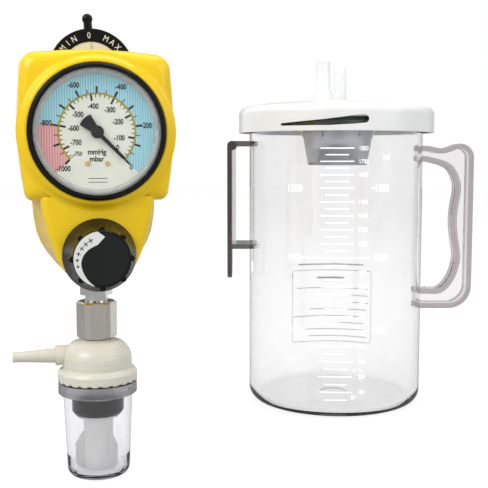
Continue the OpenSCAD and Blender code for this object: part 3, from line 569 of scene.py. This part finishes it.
def build_jar_prints():
    marks = Print(jar_side(-1))
    middle, wide, line = -4.9, 22.5, 0.75
    small = {"height": 2.9, "squeeze": 0.78, "bold": 0.01}
    for volume in range(50, 1850, 50):
        z = volume_z(volume)
        half, width = (11.0 if volume % 100 == 0 else 7.4), line
        if volume in (500, 1000):
            half, width = wide, 0.9
        long_bar(marks, middle - half, middle + half, z, width)
        if volume % 100 == 0 and volume not in (500, 1000, 1500):
            marks.text(str(volume), centre=(middle + 17.5, z), **small)
    long_bar(marks, middle - 25.3, middle - wide, volume_z(1500), line)
    long_bar(marks, middle + wide, middle + 25.3, volume_z(1500), line)
    marks.text("50", centre=(middle + 12.0, volume_z(50) + 2.0), **small)
    for volume in (500, 1000, 1500):
        for side in (-1, 1):
            marks.text(str(volume), 4.8, (1.4 + middle + side * 29.6, volume_z(volume)), squeeze=0.8, bold=0.02)
    marks.text("ml", 4.2, (29, volume_z(1750) - 1.0), squeeze=0.9)
    marks.finish("jar_graduations", JAR_WHITE_GLOWING, "bottle")

    panel = Print(jar_side(1))
    lo, hi, x0, x1 = 28.5, 85.0, -29.5, 37.0
    corner, half = 2, 0.2
    for z in (lo, hi):
        long_bar(panel, x0 + corner, x1 - corner, z, 2 * half)
    for x in (x0, x1):
        panel.polygon([(x - half, lo + corner), (x + half, lo + corner), (x + half, hi - corner),
                       (x - half, hi - corner)])
    for cx, cz, a0 in ((x0 + corner, lo + corner, 180), (x1 - corner, lo + corner, 270),
                       (x1 - corner, hi - corner, 0), (x0 + corner, hi - corner, 90)):
        for i in range(4):
            a, b = (a0 + 90 * k / 4 for k in (i, i + 1))
            ends = ((corner - half, a), (corner + half, a), (corner + half, b), (corner - half, b))
            panel.polygon([(cx + x, cz + z) for x, z in (polar(r, deg) for r, deg in ends)])
    rows = [(79, -8, 14, 1.2), (71, -25, 34, 0.5), (65.3, 20, 34, 0.5), (59.7, 4, 35, 0.5), (54.2, -14, 33, 0.5),
            (48.7, -29, 33, 0.5), (43.4, 10, 30, 0.5), (38.2, -20, 33, 0.5), (32.8, -15, 33, 0.5)]
    for z, a, b, width in rows:
        long_bar(panel, a, b, z, width)
    long_bar(panel, -24, 30, 89.6, 0.9)
    panel.finish("jar_panel", JAR_GREY_GLOWING, "bottle")


# ---------------------------------------------------------------- front cover, rounded

def arc_points(cx, cy, r, a0, a1, count):
    return [(cx + u, cy + v) for u, v in (polar(r, a0 + (a1 - a0) * i / count) for i in range(count + 1))]


def closed(right):
    """The whole outline from its right half."""
    return right + [(-x, z) for x, z in reversed(right)]


def shrink(outline, middle, by, half):
    """Scale an outline about its middle so that its half width and half height lose a length."""
    kx, kz = ((h - by) / h for h in half)
    return [(middle[0] + (x - middle[0]) * kx, middle[1] + (z - middle[1]) * kz) for x, z in outline]


def reach(outline, centre, deg):
    """Distance from centre to the outline in direction deg."""
    dx, dz = polar(1, deg)
    best = 0.0
    for (ax, az), (bx, bz) in zip(outline, outline[1:] + outline[:1]):
        ex, ez = bx - ax, bz - az
        det = ex * dz - ez * dx
        if abs(det) < 1e-9:
            continue
        px, pz = ax - centre[0], az - centre[1]
        along = (ex * pz - ez * px) / det
        part = (dx * pz - dz * px) / det
        if along > 0 and -1e-6 <= part <= 1 + 1e-6:
            best = max(best, along)
    return best


def loft(rings, centre, count, cap):
    """Skin through rings of (distance to the front, list of reaches); cap closes the last one."""
    verts, faces = [], []
    for f, radii in rings:
        for i, r in enumerate(radii):
            u, v = polar(r, 360 * i / count)
            verts.append((centre[0] + u, -f, centre[1] + v))
    for k in range(len(rings) - 1):
        for i in range(count):
            j = (i + 1) % count
            faces.append((k * count + i, k * count + j, (k + 1) * count + j, (k + 1) * count + i))
    if cap:
        last = (len(rings) - 1) * count
        verts.append((centre[0], -rings[-1][0], centre[1]))
        faces += [(last + i, last + (i + 1) % count, len(verts) - 1) for i in range(count)]
    return verts, faces


def build_front_cover():
    """The cover's outer skin: its upper part, the boss round the gauge, and its lower part round the knob."""
    edge, low_edge = 7.0, 5.0
    edge_rings, low_edge_rings = 7, 5
    inner_reach, face_reach = 35.0, 37.0        # the skin stays behind the gauge's boss
    neck_z = 153.0                              # the lower part ends here, inside the upper part
    upper_half, rear_half, front_half = (39.8, 39.3), (32, 36.1), (27, 34.2)
    count = 240
    upper = closed([(0, 227.3), (16, 226.6)] + arc_points(29.7, 217, 8.2, 84, 8, 10)
                   + [(38.9, 205), (39.8, 188), (39.2, 176), (37.9, 164)]
                   + arc_points(31.8, 155.6, 4.8, 0, -80, 8))
    front_low = closed([(29, 160), (29, 151), (27.2, 141), (25.2, 133), (23, 126), (20.5, 120), (17.3, 114.6),
                        (12, 109.6), (6, 106.6), (0, 105.8)])
    rear_low = closed([(33, 160), (33, 151), (32.3, 141), (30.9, 133), (28.6, 127), (25.5, 121.8), (21.3, 116.4),
                       (16.5, 111.2), (11, 107.1), (5.5, 104.6), (0, 103.9)])
    gauge, low = (0, GAUGE_Z), (0, 135.0)
    verts, faces = [], []

    def add_loft(rings, centre, cap=False):
        more, quads = loft(rings, centre, count, cap)
        faces.extend(tuple(len(verts) + i for i in q) for q in quads)
        verts.extend(more)

    def upper_ring(f, by):
        shape = shrink(upper, (0, 188), by, upper_half)
        return f, [max(inner_reach, reach(shape, gauge, 360 * i / count)) for i in range(count)]

    rings = [upper_ring(PART_F, 0), upper_ring(FACE_F - edge, 0)]
    for k in range(1, edge_rings + 1):
        c, s = polar(1, 90 * k / edge_rings)
        rings.append(upper_ring(FACE_F - edge + edge * s, edge * (1 - c)))
    rings.append((FACE_F, [min(face_reach, r - 0.3) for r in rings[-1][1]]))
    add_loft(rings, gauge)

    boss = [(34.35, 12), (34.35, 30.9), (34.7, 31.35), (35.4, 31.4), (36.3, 31.0), (37.1, 30.0), (37.9, 28.9),
            (38.8, 28.2), (39.9, 28.0)]
    add_loft([(f, [r] * count) for r, f in boss], gauge)

    def low_ring(f, outline, by, half):
        shape = [(x, min(z, neck_z)) for x, z in shrink(outline, (0, 140), by, half)]
        return f, [reach(shape, low, 360 * i / count) for i in range(count)]

    rings = [low_ring(f, rear_low, 0.5, rear_half) for f in (PART_F, PART_F + 4)]
    rings.append(low_ring(FACE_F - low_edge, front_low, 0, front_half))
    for k in range(1, low_edge_rings + 1):
        c, s = polar(1, 90 * k / low_edge_rings)
        rings.append(low_ring(FACE_F - low_edge + low_edge * s, front_low, 4 * (1 - c), front_half))
    add_loft(rings, low, True)
    cover = add_piece("front_cover_skin", verts, faces, MATS["cover_plastic"], "regulator", REG,
                      smooth=True)
    cover.data.set_sharp_from_angle(angle=math.radians(38))
    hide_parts("front_cover")


def build_gasket():
    """The lid's seal with the lip that hangs between the rim and the lid's plug."""
    count = 128
    section = [(57.36, 191.2), (57.92, 191.2), (57.92, 197.0), (60.8, 197.0), (60.8, 199.4), (57.36, 199.4)]
    verts, faces = [], []
    for i in range(count):
        a = 2 * math.pi * i / count
        verts += [(r * math.cos(a), r * math.sin(a), z) for r, z in section]
    n = len(section)
    for i in range(count):
        j = (i + 1) % count
        for k in range(n):
            m = (k + 1) % n
            faces.append((i * n + k, j * n + k, j * n + m, i * n + m))
    seal = add_piece("lid_seal", verts, faces, MATS["gasket_rubber"], "gasket")
    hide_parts("lid_gasket")


# ---------------------------------------------------------------- scene

def paint_nodes():
    """Give every CAD node the material of its slot, and two nodes a closer one."""
    slots = {s["node"]: s["material_slot"] for s in frame["record"]["subparts"]}
    slots["knob_insert"] = "knob_face"
    # opaque grey here stands partly for the shade on the window's conical inner wall: painted shade
    slots["window_ring"] = "ring_grey_with_shade"
    for name, obj in nodes.items():
        for slot in obj.material_slots:
            slot.material = MATS[slots[name]]


def add_floor():
    """A pale floor that glows enough to be as white as the world behind it."""
    bm = bmesh.new()
    bmesh.ops.create_grid(bm, x_segments=1, y_segments=1, size=3.0)
    mesh = bpy.data.meshes.new("floor")
    bm.to_mesh(mesh)
    bm.free()
    floor = bpy.data.objects.new("floor", mesh)
    floor.location = (0, 1.5, -0.0002)
    bpy.context.collection.objects.link(floor)
    mat, tree, bsdf = new_material("floor")
    bsdf.inputs["Base Color"].default_value = (0.3, 0.3, 0.3, 1)
    bsdf.inputs["Roughness"].default_value = 0.9
    bsdf.inputs["Specular IOR Level"].default_value = 0.0
    bsdf.inputs["Emission Color"].default_value = (1, 1, 1, 1)
    seen = seen_or_through(tree, tree.nodes.new("ShaderNodeLightPath"))
    tree.links.new(map_range(tree, seen, (0.0, 1.0), (0.15, 0.80)), bsdf.inputs["Emission Strength"])
    mesh.materials.append(mat)


add_camera()
add_world()
bpy.context.scene.view_settings.view_transform = "Standard"
for light in LIGHTS:
    add_area(*light)
paint_nodes()
build_front_cover()
build_gasket()
build_dial()
build_knob_print()
build_selector_print()
build_jar_prints()
add_floor()
